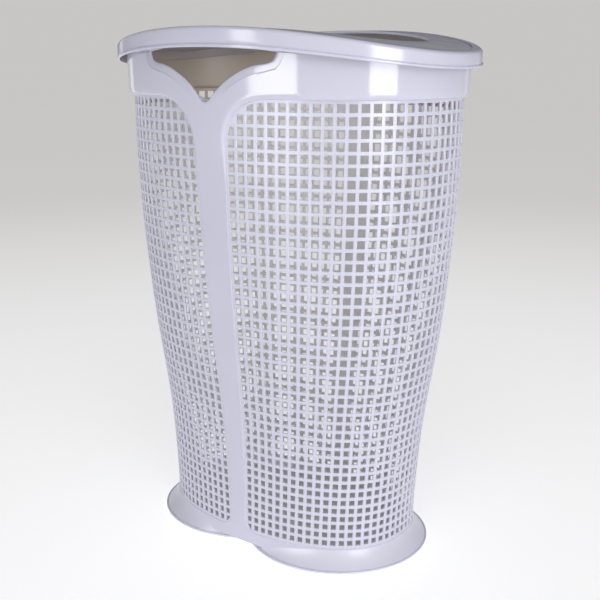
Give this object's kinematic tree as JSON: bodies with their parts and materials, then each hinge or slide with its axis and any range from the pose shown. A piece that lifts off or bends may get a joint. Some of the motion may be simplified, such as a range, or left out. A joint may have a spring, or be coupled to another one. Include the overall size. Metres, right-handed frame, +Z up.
{
  "type": "laundry hamper with lid",
  "caption": "Tall tapered oval laundry hamper with perforated plastic walls, V-shaped hand windows, twin round feet and an arched lift-off lid with an oval drop-in opening.",
  "frame": {"origin": "on the floor, midway between the two round feet", "axes": "+X along the long side, -Y towards the front post and hand window, +Z up to the lid"},
  "size_m": [0.4444, 0.3222, 0.6],
  "materials": {
    "lid_plastic": "smooth glossy white with a cool tint",
    "collar_plastic": "smooth glossy white with a cool tint",
    "post_plastic": "semi-gloss white",
    "panel_plastic": "semi-gloss white, perforated",
    "floor_plastic": "fine moulded texture",
    "foot_plastic": "smooth glossy white"
  },
  "bodies": {
    "basket": {"collar": "collar_plastic", "front_post": "post_plastic", "rear_post": "post_plastic", "left_panel": "panel_plastic", "right_panel": "panel_plastic", "floor_pan": "floor_plastic", "left_foot": "foot_plastic", "right_foot": "foot_plastic"},
    "lid": {"lid": "lid_plastic"}
  },
  "joints": [
    {"name": "lid_lift", "type": "slide", "parent": "basket", "child": "lid", "axis": [0, 0, 1], "range_m": [0, 0.08]}
  ]
}
